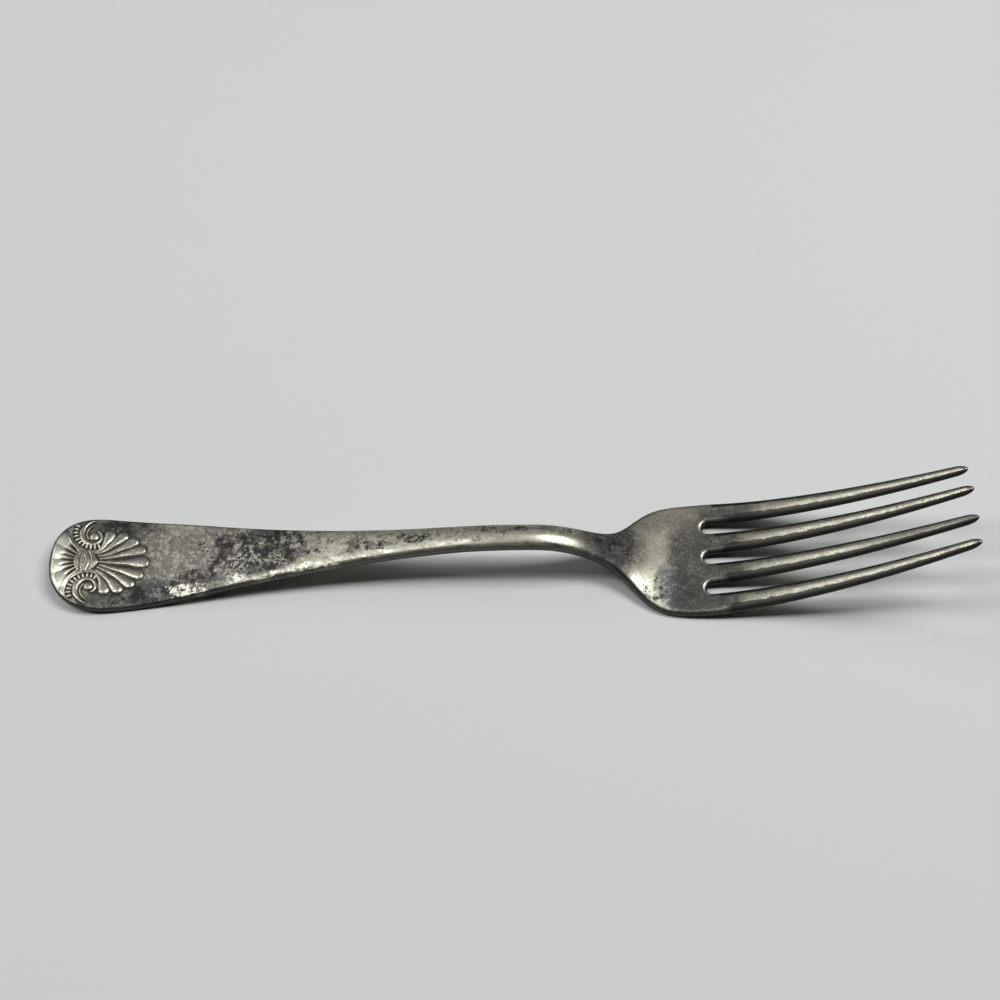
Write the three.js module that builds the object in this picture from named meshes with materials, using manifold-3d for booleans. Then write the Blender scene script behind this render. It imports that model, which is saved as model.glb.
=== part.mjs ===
// Table fork with four tines, a slim arched stem and a struck shell on the end of its handle.
// Millimetres, +Z up. The fork lies with its tines up on a table at z = 0. X runs from the handle's
// end to the tips, Y runs across, and the origin is under the middle of the fork.
// A fork is one blank, stamped flat and then bent. Each region of the blank is a solid of its own here,
// cut square to the bent centre line, and the regions meet face to face.
import * as THREE from "three";
import { mergeVertices } from "three/addons/utils/BufferGeometryUtils.js";
import Module from "manifold-3d";

// Lengths along the fork, each from the place before it
const endLength = 9.9; // handle's round end to its widest place
const bladeLength = 82; // widest place to where the stem is slimmest
const archLength = 7; // slimmest place to the top of the arch
const neckLength = 24.4; // top of the arch to the middle of the shoulders
const palmLength = 16.3; // middle of the shoulders to the roots of the tines
const tineLength = 50.9; // roots to tips

// Widths, in plan
const handleWidth = 22.05;
const stemWidth = 5.45;
const headWidth = 26.35;
const slotWidth = 2.6; // between the tines, at their roots
const tipWidth = 1.75; // of a tine, where its tip begins to round
const outerTipPlace = 8.5; // tips of the outer tines, from the middle
const innerTipPlace = 3.2; // tips of the inner tines, from the middle

// Thicknesses of the blank
const endThickness = 1.3;
const handleThickness = 2.1;
const stemThickness = 3.3;
const palmThickness = 2.2;
const tipThickness = 1.3;

// Radii of the long edges
const handleEdge = 0.8;
const stemEdge = 1.4;
const headEdge = 0.8;
const tipEdge = 0.5;

// Heights of the bent centre line
const endLift = 2.2; // handle's end above the place where the handle rests
const archHeight = 12.25; // top of the arch above the table
const tipHeight = 25.2; // tips above the table

// Places and lengths of the bends
const handleRestPlace = 18.5; // from the handle's end
const palmRestLength = 6.2; // behind the roots of the tines
const heelBend = 5; // where the handle leaves the table
const archBend = 16.4; // up to the top of the arch
const archFlat = 3.6; // past the top of the arch, before the neck drops
const palmFlat = 1.9; // before the place where the palm rests
const tineSweep = 1.6; // power of the tines' rising curve
const dishDepth = 0.1; // hollow of the palm across its width
const shoulderCrown = 0.5; // middle of the shoulders above their edges
const crownLength = 7; // how far the crown of the shoulders reaches, each way
const wearDepth = 0.15; // worn flat where the fork has lain

// Shape of the outline
const endRoundness = 1.9; // power of the round end, 2 is an ellipse
const bladeWaist = 0.7; // power of the blade's taper, under 1 draws it in early
const shoulderLength = 5.2; // half the length of the shoulders' curve
const tipRound = 2.2; // length of a tine's rounded tip
const bluntHalf = 0.6; // half width of the blunt first section at the handle's end
const tipBlunt = 0.2; // share of a tine's section that is left at the end of its tip
const edgeLimit = 0.45; // largest share of a section's thickness or half width that an edge may round

// Where one region ends and the next begins
const shellMargin = 3.6; // plain metal in front of the shell, within the handle's end
const stemReach = 19.4; // of the stem's region, back from its slimmest place
const archReach = 6; // of the stem's region, past the top of the arch
const shoulderReach = 4; // of the palm's region, back from the middle of the shoulders

// Struck shell: a bud, a fan of lobes, two scrolls, two rows of beads and the flutes behind them
const reliefHeight = 0.45;
const budPlace = 7.4;
const budLength = 4.4;
const budWidth = 5;
const budHeight = 0.72;
const fanPlace = 9.5; // where the lobes start, from the handle's end
const lobeLength = 11.5; // middle lobe, from there
const lobeShortening = 3.8; // of the outermost lobes
const lobeWidth = 2.1; // at its round end
const lobeRootShare = 0.35; // of that width where it starts
const lobeCount = 9;
const lobeSpread = THREE.MathUtils.degToRad(64); // outermost lobes, from the middle
const scrollPlace = 8.4;
const scrollInset = 5.15; // eyes of the scrolls, in from the widest edge
const scrollEye = 0.9; // radius
const scrollStart = 1.3; // radius where the spiral leaves the eye
const scrollReach = 3.9; // radius at the end of the tail
const scrollFrom = THREE.MathUtils.degToRad(60);
const scrollTurn = THREE.MathUtils.degToRad(324);
const scrollThickness = 0.8;
const beadInset = 4.05; // middle of a row of beads, in from the widest edge
const beadRing = 3.7; // radius of that row
const beadDiameter = 0.8;
const beadCount = 10;
const beadFrom = THREE.MathUtils.degToRad(160);
const beadArc = THREE.MathUtils.degToRad(130);
const fluteCount = 7;
const fluteSpread = THREE.MathUtils.degToRad(44);
const fluteWidth = 0.9;
const fluteGap = 0.35; // between the bud and the flutes
const fluteMargin = 1.5; // between the flutes and the handle's end

// Fineness of the solids
const cornerSteps = 2;
const wideSpans = 4;
const narrowSpans = 1;
const endSteps = 9; // round the handle's end
const tipSteps = 5; // round a tine's tip
const endStep = 2; // greatest distance between sections, for each region
const bladeStep = 6;
const stemStep = 5;
const neckStep = 1.6;
const palmStep = 1.6;
const tineStep = 4;
const moundSides = 8;
const moundRings = 6;
const beadSides = 6;
const beadRings = 4;
const scrollSteps = 18;
const scrollSides = 3; // on a quarter of the band
const slotSides = 20;
const cutterScale = 3; // a cutting block or drill, against what it cuts

// Places along the fork, from the handle's end
const widest = endLength;
const slim = widest + bladeLength;
const archTop = slim + archLength;
const shoulder = archTop + neckLength;
const root = shoulder + palmLength;
const tip = root + tineLength;
const palmRest = root - palmRestLength;
const shellEnd = fanPlace + lobeLength + shellMargin;
const stemStart = slim - stemReach;
const neckStart = archTop + archReach;
const palmStart = shoulder - shoulderReach;

// Smooth step from one value to the next through a list of places
function eased(x, places) {
  let [place, value] = places[0];
  for (const [nextPlace, nextValue] of places.slice(1)) {
    value += (nextValue - value) * THREE.MathUtils.smoothstep(x, place, nextPlace);
    place = nextPlace;
  }
  return value;
}

function thicknessAt(x) {
  return eased(x, [
    [0, endThickness],
    [widest, handleThickness],
    [archTop, stemThickness],
    [palmRest, palmThickness],
    [tip, tipThickness],
  ]);
}

function edgeAt(x) {
  return eased(x, [
    [0, tipEdge],
    [widest, handleEdge],
    [archTop, stemEdge],
    [palmRest, headEdge],
    [tip, tipEdge],
  ]);
}

// Half of the outline's width, from the handle's end to the roots of the tines
function halfWidthAt(x) {
  if (x < widest) {
    const round = 1 - (1 - x / endLength) ** endRoundness;
    return Math.max(bluntHalf, (handleWidth / 2) * round ** (1 / endRoundness));
  }
  const along = Math.min((x - widest) / bladeLength, 1);
  const taper = (1 + Math.cos(Math.PI * along ** bladeWaist)) / 2;
  const flare = (1 + Math.tanh((x - shoulder) / shoulderLength)) / 2;
  return (stemWidth + (handleWidth - stemWidth) * taper + (headWidth - stemWidth) * flare) / 2;
}

// Height of the bent centre line above the table
const handleRestHeight = thicknessAt(handleRestPlace) / 2;
const palmRestHeight = thicknessAt(palmRest) / 2;

function heightAt(x) {
  if (x < handleRestPlace) {
    return handleRestHeight + endLift * (1 - x / handleRestPlace) ** 2;
  }
  if (x < archTop) {
    const run = archTop - handleRestPlace - (heelBend + archBend) / 2;
    const slope = (archHeight - handleRestHeight) / run;
    const fromRest = x - handleRestPlace;
    const toTop = archTop - x;
    const heel = fromRest < heelBend ? fromRest ** 2 / (2 * heelBend) : fromRest - heelBend / 2;
    const missed = toTop < archBend ? (archBend - toTop) ** 2 / (2 * archBend) : 0;
    return handleRestHeight + slope * (heel - missed);
  }
  const drop = THREE.MathUtils.smoothstep(x, archTop + archFlat, palmRest - palmFlat);
  const sweep = Math.max(0, (x - palmRest) / (tip - palmRest)) ** tineSweep;
  return archHeight + (palmRestHeight - archHeight) * drop + (tipHeight - palmRestHeight) * sweep;
}

function slopeAngleAt(x) {
  const probe = 0.05;
  return Math.atan2(heightAt(x + probe) - heightAt(x - probe), 2 * probe);
}

// A point of the flat blank, h above its middle, carried to its place on the bent, crowned and dished fork
function bent(x, y, h) {
  const angle = slopeAngleAt(x);
  const flare = (1 + Math.tanh((x - shoulder) / shoulderLength)) / 2;
  const dish = dishDepth * flare * (y / (headWidth / 2)) ** 2;
  const bell = Math.exp(-(((x - shoulder) / crownLength) ** 2));
  const raised = h + dish - shoulderCrown * bell * (y / halfWidthAt(x)) ** 2;
  const along = x - raised * Math.sin(angle);
  return new THREE.Vector3(along, y, heightAt(x) + raised * Math.cos(angle));
}

// One section of the blank: a bar with rounded corners, anticlockwise as seen from the tips
function section(x, middle, halfWidth, thickness, spans) {
  const radius = Math.min(edgeAt(x), thickness * edgeLimit, halfWidth * edgeLimit);
  const side = halfWidth - radius;
  const top = thickness / 2 - radius;
  const corners = [[side, top], [-side, top], [-side, -top], [side, -top]];
  const points = [];
  corners.forEach(([y, h], corner) => {
    for (let step = 0; step <= cornerSteps; step++) {
      const turn = (corner + step / cornerSteps) * (Math.PI / 2);
      points.push(bent(x, middle + y + radius * Math.cos(turn), h + radius * Math.sin(turn)));
    }
    if (corner % 2 === 0) {
      const face = corner === 0 ? thickness / 2 : -thickness / 2;
      for (let span = 1; span < spans; span++) {
        points.push(bent(x, middle + y * (1 - (2 * span) / spans), face));
      }
    }
  });
  return points;
}

// Closed skin over a row of sections
function loft(sections) {
  const count = sections[0].length;
  const points = sections.flat();
  const faces = [];
  const last = sections.length - 1;
  const middleOf = (ring) => ring.reduce((sum, p) => sum.add(p), new THREE.Vector3()).divideScalar(count);
  const backMiddle = points.push(middleOf(sections[0])) - 1;
  const frontMiddle = points.push(middleOf(sections[last])) - 1;
  for (let k = 0; k < count; k++) {
    const next = (k + 1) % count;
    for (let row = 0; row < last; row++) {
      const here = row * count;
      const ahead = here + count;
      faces.push(here + k, here + next, ahead + next);
      faces.push(here + k, ahead + next, ahead + k);
    }
    faces.push(backMiddle, next, k);
    faces.push(frontMiddle, last * count + k, last * count + next);
  }
  const geometry = new THREE.BufferGeometry().setFromPoints(points);
  geometry.setIndex(faces);
  return geometry;
}

function evenPlaces(from, to, step) {
  const count = Math.ceil((to - from) / step);
  return Array.from({ length: count + 1 }, (_, k) => from + ((to - from) * k) / count);
}

// Places that crowd towards the start of a round end
function roundPlaces(length, count) {
  return Array.from({ length: count }, (_, k) => length * (1 - Math.cos((Math.PI / 2) * (k / count))));
}

function barBetween(places) {
  return loft(places.map((x) => section(x, 0, halfWidthAt(x), thicknessAt(x), wideSpans)));
}

// Joining and cutting closed solids
const wasm = await Module();
wasm.setup();

function solidOf(geometry) {
  const bare = geometry.clone();
  bare.deleteAttribute("normal");
  bare.deleteAttribute("uv");
  const merged = mergeVertices(bare, 1e-4);
  const vertProperties = Float32Array.from(merged.attributes.position.array);
  const triVerts = Uint32Array.from(merged.index.array);
  return new wasm.Manifold(new wasm.Mesh({ numProp: 3, vertProperties, triVerts }));
}

function geometryOf(solid) {
  const { vertProperties, triVerts } = solid.getMesh();
  const geometry = new THREE.BufferGeometry();
  geometry.setAttribute("position", new THREE.BufferAttribute(vertProperties, 3));
  geometry.setIndex(new THREE.BufferAttribute(triVerts, 1));
  return geometry;
}

// Everything under the worn flats, to be cut away
function belowTheTable() {
  const depth = cutterScale * palmThickness;
  const block = new THREE.BoxGeometry(cutterScale * tip, cutterScale * headWidth, depth);
  return solidOf(block.translate(tip / 2, 0, wearDepth - depth / 2));
}

// Relief: shapes made on the flat blank's top face, where z is the height above it, then bent with it
function onTop(geometry) {
  const places = geometry.attributes.position;
  for (let k = 0; k < places.count; k++) {
    const x = places.getX(k);
    const p = bent(x, places.getY(k), thicknessAt(x) / 2 + places.getZ(k));
    places.setXYZ(k, p.x, p.y, p.z);
  }
  return solidOf(geometry);
}

function mound(length, width, height) {
  return new THREE.SphereGeometry(1, moundSides, moundRings)
    .rotateX(Math.PI / 2)
    .scale(length / 2, width / 2, height);
}

function bud() {
  return onTop(mound(budLength, budWidth, budHeight).translate(budPlace, 0, 0));
}

// A lobe starts narrow and ends in a round club
function lobe(length) {
  const shape = mound(length, lobeWidth, reliefHeight).translate(length / 2, 0, 0);
  const places = shape.attributes.position;
  for (let k = 0; k < places.count; k++) {
    const share = THREE.MathUtils.lerp(lobeRootShare, 1, places.getX(k) / length);
    places.setY(k, places.getY(k) * share);
  }
  return shape;
}

function lobes() {
  return Array.from({ length: lobeCount }, (_, k) => {
    const share = (2 * k) / (lobeCount - 1) - 1;
    const shape = lobe(lobeLength - lobeShortening * share ** 2);
    return onTop(shape.rotateZ(share * lobeSpread).translate(fanPlace, 0, 0));
  });
}

const scrollAcross = handleWidth / 2 - scrollInset;

// A band from its eye, round the inner side of the scroll and out to the edge of the handle
function scroll(side) {
  const spiral = new THREE.Curve();
  spiral.getPoint = (t, target = new THREE.Vector3()) => {
    const turn = scrollFrom - scrollTurn * t;
    const radius = scrollStart + (scrollReach - scrollStart) * t ** 3;
    const x = scrollPlace + radius * Math.cos(turn);
    return target.set(x, side * (scrollAcross + radius * Math.sin(turn)), 0);
  };
  const disc = new THREE.Shape().absellipse(0, 0, reliefHeight, scrollThickness / 2, 0, 2 * Math.PI);
  const path = { extrudePath: spiral, steps: scrollSteps, curveSegments: scrollSides };
  const band = new THREE.ExtrudeGeometry(disc, path);
  const eye = mound(2 * scrollEye, 2 * scrollEye, reliefHeight);
  return [onTop(band), onTop(eye.translate(scrollPlace, side * scrollAcross, 0))];
}

function beads(side) {
  return Array.from({ length: beadCount }, (_, k) => {
    const turn = beadFrom + (beadArc * k) / (beadCount - 1);
    const x = scrollPlace + beadRing * Math.cos(turn);
    const y = side * (handleWidth / 2 - beadInset + beadRing * Math.sin(turn));
    const bead = new THREE.SphereGeometry(beadDiameter / 2, beadSides, beadRings).rotateX(Math.PI / 2);
    return onTop(bead.translate(x, y, 0));
  });
}

function flutes() {
  const inner = budPlace - budLength / 2 - fluteGap;
  const length = inner - fluteMargin;
  return Array.from({ length: fluteCount }, (_, k) => {
    const share = (2 * k) / (fluteCount - 1) - 1;
    const flute = mound(length, fluteWidth, reliefHeight / 2).translate(inner - length / 2 - budPlace, 0, 0);
    return onTop(flute.rotateZ(share * fluteSpread).translate(budPlace, 0, 0));
  });
}

function handleEnd() {
  const places = [...roundPlaces(widest, endSteps), ...evenPlaces(widest, shellEnd, endStep)];
  let solid = solidOf(barBetween(places));
  const relief = [bud(), ...lobes(), ...flutes()];
  for (const side of [1, -1]) {
    relief.push(...scroll(side), ...beads(side));
  }
  for (const shape of relief) {
    solid = solid.add(shape);
  }
  return geometryOf(solid.subtract(belowTheTable()));
}

// Roots of the tines: half a round hole at the end of each slot
const tineRootWidth = (2 * halfWidthAt(root) - 3 * slotWidth) / 4;
const tinePitch = tineRootWidth + slotWidth;

function palm() {
  let solid = solidOf(barBetween(evenPlaces(palmStart, root, palmStep)));
  const drill = slotWidth / 2;
  for (const slot of [-1, 0, 1]) {
    const hole = new THREE.CylinderGeometry(drill, drill, cutterScale * palmThickness, slotSides);
    hole.rotateX(Math.PI / 2).rotateY(-slopeAngleAt(root));
    const middle = bent(root, slot * tinePitch, 0);
    solid = solid.subtract(solidOf(hole.translate(middle.x, middle.y, middle.z)));
  }
  return geometryOf(solid.subtract(belowTheTable()));
}

// A tine narrows evenly from its root and rounds off at its tip
function tine(rootMiddle, tipMiddle) {
  const tipPlaces = roundPlaces(tipRound, tipSteps).map((back) => tip - back);
  const places = [...evenPlaces(root, tip - tipRound, tineStep), ...tipPlaces.reverse()];
  const sections = places.map((x) => {
    const share = (x - root) / tineLength;
    const past = Math.max(0, (x - (tip - tipRound)) / tipRound);
    const rounding = Math.max(tipBlunt, Math.sqrt(1 - past ** 2));
    const halfWidth = ((tineRootWidth + (tipWidth - tineRootWidth) * share) / 2) * rounding;
    const middle = rootMiddle + (tipMiddle - rootMiddle) * share;
    return section(x, middle, halfWidth, thicknessAt(x) * rounding, narrowSpans);
  });
  return loft(sections);
}

// Silver plate, worn and darkened with age
function silverPlate() {
  return new THREE.MeshStandardMaterial({ color: 0x8d8a85, metalness: 1, roughness: 0.38 });
}

function piece(name, geometry) {
  geometry.computeVertexNormals();
  const mesh = new THREE.Mesh(geometry, silverPlate());
  mesh.name = name;
  return mesh;
}

const fork = new THREE.Group();
fork.name = "table_fork";
fork.add(piece("handle_end", handleEnd()));
fork.add(piece("handle_blade", barBetween(evenPlaces(shellEnd, stemStart, bladeStep))));
fork.add(piece("stem", barBetween(evenPlaces(stemStart, neckStart, stemStep))));
fork.add(piece("neck", barBetween(evenPlaces(neckStart, palmStart, neckStep))));
fork.add(piece("palm", palm()));
[
  [1.5 * tinePitch, outerTipPlace],
  [0.5 * tinePitch, innerTipPlace],
  [-0.5 * tinePitch, -innerTipPlace],
  [-1.5 * tinePitch, -outerTipPlace],
].forEach(([rootMiddle, tipMiddle], k) => {
  fork.add(piece(`tine_${k + 1}`, tine(rootMiddle, tipMiddle)));
});

// Stand the fork on the table, with the origin under its middle
const box = new THREE.Box3().setFromObject(fork);
const middle = box.getCenter(new THREE.Vector3());
fork.position.set(-middle.x, -middle.y, -box.min.z);

export default fork;
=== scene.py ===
"""A worn silver-plated table fork with a struck shell on its handle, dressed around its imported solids."""

import math

import bmesh
import bpy
import numpy as np
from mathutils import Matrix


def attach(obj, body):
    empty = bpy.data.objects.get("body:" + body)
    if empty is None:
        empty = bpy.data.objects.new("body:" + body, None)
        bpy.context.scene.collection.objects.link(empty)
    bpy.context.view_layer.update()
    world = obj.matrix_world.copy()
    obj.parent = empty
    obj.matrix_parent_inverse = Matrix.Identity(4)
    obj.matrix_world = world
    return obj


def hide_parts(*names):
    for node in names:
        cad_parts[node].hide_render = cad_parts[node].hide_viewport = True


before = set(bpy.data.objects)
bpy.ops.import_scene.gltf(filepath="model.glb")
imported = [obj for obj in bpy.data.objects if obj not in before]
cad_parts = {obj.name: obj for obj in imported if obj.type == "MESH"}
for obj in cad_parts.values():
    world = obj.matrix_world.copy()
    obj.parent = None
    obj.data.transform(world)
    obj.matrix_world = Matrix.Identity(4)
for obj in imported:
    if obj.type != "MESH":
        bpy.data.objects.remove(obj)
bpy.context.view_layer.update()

# Sizes of the fork in millimetres: stations run from the handle's end, heights from the blank's middle
MM = 0.001
END_LENGTH = 11.3
BLADE_LENGTH = 80.6
ARCH_LENGTH = 7.0
NECK_LENGTH = 24.4
PALM_LENGTH = 16.3
TINE_LENGTH = 50.9
HANDLE_WIDTH = 22.05
STEM_WIDTH = 5.55
HEAD_WIDTH = 26.34
SLOT_WIDTH = 2.4
TIP_WIDTH = 2.0
TINE_FULLNESS = 0.3
END_THICKNESS = 1.3
HANDLE_THICKNESS = 2.1
STEM_THICKNESS = 3.3
PALM_THICKNESS = 2.2
TIP_THICKNESS = 1.5
END_LIFT = 2.8
ARCH_HEIGHT = 12.25
TIP_HEIGHT = 25.05
HANDLE_REST = 18.5
PALM_REST_BACK = 6.2
HEEL_BEND = 5.0
ARCH_BEND = 16.4
ARCH_FLAT = 3.6
PALM_FLAT = 1.9
TINE_SWEEP = 1.6
DISH_DEPTH = 0.1
SHOULDER_CROWN = 0.5
CROWN_LENGTH = 7.0
HANDLE_CROWN = 0.1
WEAR_DEPTH = 0.15
END_ROUNDNESS = 2.35
BLADE_WAIST = 0.68
BLADE_FULLNESS = 0.1
BLADE_FULLEST = 29.0
BLADE_FULL_LENGTH = 9.0
SHOULDER_SOFTNESS = 5.2
TIP_ROUNDING = 2.2
OUTER_TIP_PLACE = 8.5
INNER_TIP_PLACE = 3.2
BEND_SOFTNESS = 1.2
FAR_TRIM = 0.45
FAR_TRIM_LENGTH = 6.5

WIDEST = END_LENGTH
SLIM = WIDEST + BLADE_LENGTH
ARCH_TOP = SLIM + ARCH_LENGTH
SHOULDER = ARCH_TOP + NECK_LENGTH
ROOT = SHOULDER + PALM_LENGTH
TIP = ROOT + TINE_LENGTH
PALM_REST = ROOT - PALM_REST_BACK
MIDDLE = 95.21

# Where the blank is divided into its named stretches
END_CUT = 24.6
BLADE_CUT = SLIM - 19.4
STEM_CUT = ARCH_TOP + 6.0
NECK_CUT = SHOULDER - 4.0


# The blank's outline, thickness and bend
def smooth(value, start, end):
    share = np.clip((value - start) / (end - start), 0, 1)
    return share * share * (3 - 2 * share)


def eased(x, places):
    station, value = places[0]
    value = value + 0 * x
    for following, target in places[1:]:
        value = value + (target - value) * smooth(x, station, following)
        station = following
    return value


def blank_thickness(x):
    return eased(x, [
        (0, END_THICKNESS),
        (WIDEST, HANDLE_THICKNESS),
        (ARCH_TOP, STEM_THICKNESS),
        (PALM_REST, PALM_THICKNESS),
        (TIP, TIP_THICKNESS),
    ])


def head_flare(x):
    return (1 + np.tanh((x - SHOULDER) / SHOULDER_SOFTNESS)) / 2


def half_width(x):
    past_end = np.clip(1 - x / WIDEST, 0, 1)
    rounded = HANDLE_WIDTH / 2 * np.clip(1 - past_end**END_ROUNDNESS, 0, 1) ** (1 / END_ROUNDNESS)
    along = np.clip((x - WIDEST) / BLADE_LENGTH, 0, 1) ** BLADE_WAIST
    waisted = (HANDLE_WIDTH - STEM_WIDTH) * (1 + np.cos(np.pi * along)) / 2
    flared = (HEAD_WIDTH - STEM_WIDTH) * head_flare(x)
    fullness = BLADE_FULLNESS * np.exp(-(((x - BLADE_FULLEST) / BLADE_FULL_LENGTH) ** 2))
    return np.where(x < WIDEST, rounded, (STEM_WIDTH + waisted + flared) / 2 + fullness)


def bend_height(x):
    handle_height = blank_thickness(np.array(HANDLE_REST)) / 2
    palm_height = blank_thickness(np.array(PALM_REST)) / 2
    lifted_end = handle_height + END_LIFT * (1 - x / HANDLE_REST) ** 2
    slope = (ARCH_HEIGHT - handle_height) / (ARCH_TOP - HANDLE_REST - (HEEL_BEND + ARCH_BEND) / 2)
    past_heel = x - HANDLE_REST
    before_arch = ARCH_TOP - x
    risen = np.where(past_heel < HEEL_BEND, past_heel**2 / (2 * HEEL_BEND), past_heel - HEEL_BEND / 2)
    missed = np.where(before_arch < ARCH_BEND, (ARCH_BEND - before_arch) ** 2 / (2 * ARCH_BEND), 0)
    handle = handle_height + slope * (risen - missed)
    fall = (palm_height - ARCH_HEIGHT) * smooth(x, ARCH_TOP + ARCH_FLAT, PALM_REST - PALM_FLAT)
    sweep = np.clip((x - PALM_REST) / (TIP - PALM_REST), 0, None) ** TINE_SWEEP
    head = ARCH_HEIGHT + fall + (TIP_HEIGHT - palm_height) * sweep
    return np.where(x < HANDLE_REST, lifted_end, np.where(x < ARCH_TOP, handle, head))


def softened(values, reach, step):
    offsets = np.arange(-4 * reach, 4 * reach + step / 2, step)
    weights = np.exp(-0.5 * (offsets / reach) ** 2)
    padded = np.pad(values, len(offsets) // 2, mode="edge")
    return np.convolve(padded, weights / weights.sum(), mode="valid")


PROFILE_STEP = 0.05
PROFILE_MARGIN = 8.0
profile_stations = np.arange(-PROFILE_MARGIN, TIP + PROFILE_MARGIN, PROFILE_STEP)
profile_heights = softened(bend_height(profile_stations), BEND_SOFTNESS, PROFILE_STEP)
profile_slopes = np.gradient(profile_heights, PROFILE_STEP)


def bent(x, y, height):
    """Points of the bent blank in the shared frame, in metres."""
    angle = np.arctan(np.interp(x, profile_stations, profile_slopes))
    shoulders = SHOULDER_CROWN * np.exp(-(((x - SHOULDER) / CROWN_LENGTH) ** 2))
    handle = HANDLE_CROWN * smooth(x, 0, WIDEST) * smooth(x, SLIM, BLADE_CUT / 2)
    fall = (shoulders + handle) * (y / np.maximum(half_width(x), 1)) ** 2
    raised = height + DISH_DEPTH * head_flare(x) * (y / (HEAD_WIDTH / 2)) ** 2 - fall
    along = x - raised * np.sin(angle) - MIDDLE
    up = np.interp(x, profile_stations, profile_heights) + raised * np.cos(angle) - WEAR_DEPTH
    trim = FAR_TRIM * np.exp(-(((x - WIDEST) / FAR_TRIM_LENGTH) ** 2))
    across = y - trim * np.clip(y / np.maximum(half_width(x), 1), 0, 1) ** 4
    return np.stack([along, across, np.maximum(up, 0)], axis=-1) * MM


# The section across the blank: a rolled edge, and a crown that grows towards the stem
EDGE_SIDE_POWER = 2.1
UNDERSIDE_CROWN = 0.4
PROBE = 0.05


def edge_reach(x):
    return eased(x, [
        (0, 0.5),
        (END_CUT, 0.6),
        (50, 0.9),
        (SLIM, 0.85),
        (ARCH_TOP, 0.95),
        (SHOULDER, 0.7),
        (ROOT, 1.0),
        (ROOT + 12, 2.2),
    ])


def crown_share(x):
    return eased(x, [
        (0, 0.05),
        (END_CUT, 0.1),
        (50, 0.36),
        (BLADE_CUT, 0.4),
        (SLIM, 0.42),
        (ARCH_TOP, 0.5),
        (SHOULDER, 0.3),
        (ROOT, 0.06),
    ])


def crown_power(x):
    return eased(x, [(0, 4.0), (50, 3.0), (SLIM, 2.0)])


def corner_power(x):
    return eased(x, [(0, 2.5), (SHOULDER, 2.5), (ROOT, 2.2), (ROOT + 12, 2.0)])


def rolled(x, depth, reach):
    inward = np.clip(1 - depth / reach, 0, 1)
    return (1 - inward**EDGE_SIDE_POWER) ** (1 / corner_power(x))


def settled(depth):
    return np.where(depth < 1e-6, 0, depth)


def outline_depth(x, y):
    """Distance in from the handle's or the palm's outline."""
    side = np.abs(y)
    back = np.clip(1 - x / WIDEST, 0, 1)
    across = side / (HANDLE_WIDTH / 2)
    inside = 1 - back**END_ROUNDNESS - across**END_ROUNDNESS
    fall_x = back ** (END_ROUNDNESS - 1) / WIDEST
    fall_y = across ** (END_ROUNDNESS - 1) / (HANDLE_WIDTH / 2)
    end_depth = inside / np.maximum(END_ROUNDNESS * np.hypot(fall_x, fall_y), 1e-6)
    slope = (half_width(x + PROBE) - half_width(x - PROBE)) / (2 * PROBE)
    side_depth = (half_width(x) - side) / np.hypot(1, slope)
    return settled(np.where(x < WIDEST, end_depth, side_depth))


TINE_ROOT_WIDTH = (2 * float(half_width(np.array(ROOT))) - 3 * SLOT_WIDTH) / 4
TINE_PITCH = TINE_ROOT_WIDTH + SLOT_WIDTH
SLOT_MIDDLES = (-TINE_PITCH, 0.0, TINE_PITCH)


def slot_depth(x, y):
    """Distance from the nearest slot's round end."""
    reaches = [np.hypot(np.minimum(x - ROOT, 0), y - middle) - SLOT_WIDTH / 2 for middle in SLOT_MIDDLES]
    return settled(np.min(reaches, axis=0))


def face_height(x, y, depth, reach, half, side):
    """Height of the top (side 1) or bottom (side -1) face over the middle of the blank."""
    crown = crown_share(x) * (1 if side > 0 else UNDERSIDE_CROWN)
    crowned = 1 - crown * np.abs(y / np.maximum(half, 1e-6)) ** crown_power(x)
    return side * blank_thickness(x) / 2 * rolled(x, depth, reach) * crowned


# The struck shell: clubs fanned out from a bud, a beaded scroll at each side, and flutes to the rim
RELIEF_HEIGHT = 0.4
BUD_MIDDLE = 7.1
BUD_BACK = 2.25
BUD_POINT = 2.9
BUD_HALF = 2.65
BUD_HEIGHT = 0.42
BUD_RIM_SHARE = 0.72
BUD_ROUNDNESS = 2.4
BUD_POINT_POWER = 1.9
LEAF_RIM = 6.4
LEAF_BOW = 0.5
LEAF_RIM_WIDTH = 0.13
LEAF_RIM_DEPTH = 0.22
LEAF_CREASE = 6.95
LEAF_CREASE_WIDTH = 0.12
LEAF_CREASE_DEPTH = 0.13
LEAF_FRONT = 7.3
LEAF_FRONT_BOW = 0.85
LEAF_FRONT_WIDTH = 0.14
LEAF_FRONT_DEPTH = 0.15
CLUB_STEPS = 40
CLUB_ROOT_HALF = 0.3
CLUB_SPREAD = 0.55
CLUB_HEIGHT = 0.4
CLUB_ROOT_HEIGHT_SHARE = 0.5
CLUBS = [
    # root, bend and middle of the bulb, as station and distance from the axis, then the bulb's radius
    ((9.4, 2.56), (10.75, 3.42), (11.7, 6.55), 1.2),
    ((9.68, 2.03), (11.72, 3.13), (14.47, 6.25), 1.2),
    ((9.9, 1.34), (12.82, 2.13), (16.86, 5.0), 1.2),
    ((10.3, 0.72), (13.35, 1.44), (18.6, 2.95), 1.2),
    ((10.2, 0.0), (14.7, 0.0), (19.4, 0.0), 1.35),
]
SCROLL_EYE = (8.4, 5.9)
SCROLL_EYE_RADIUS = 0.98
SCROLL_EYE_SHARE = 0.95
SCROLL_STEPS = 120
SCROLL_START = math.radians(60)
SCROLL_TURN = math.radians(-324)
SCROLL_INNER = 1.5
SCROLL_OUTER = 3.95
SCROLL_HALF = 0.34
SCROLL_SWELL = 0.3
SCROLL_TAPER = 0.32
TAIL_LINE_START = 0.66
TAIL_LINE_INSET = 1.05
TAIL_LINE_HALF = 0.2
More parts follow.
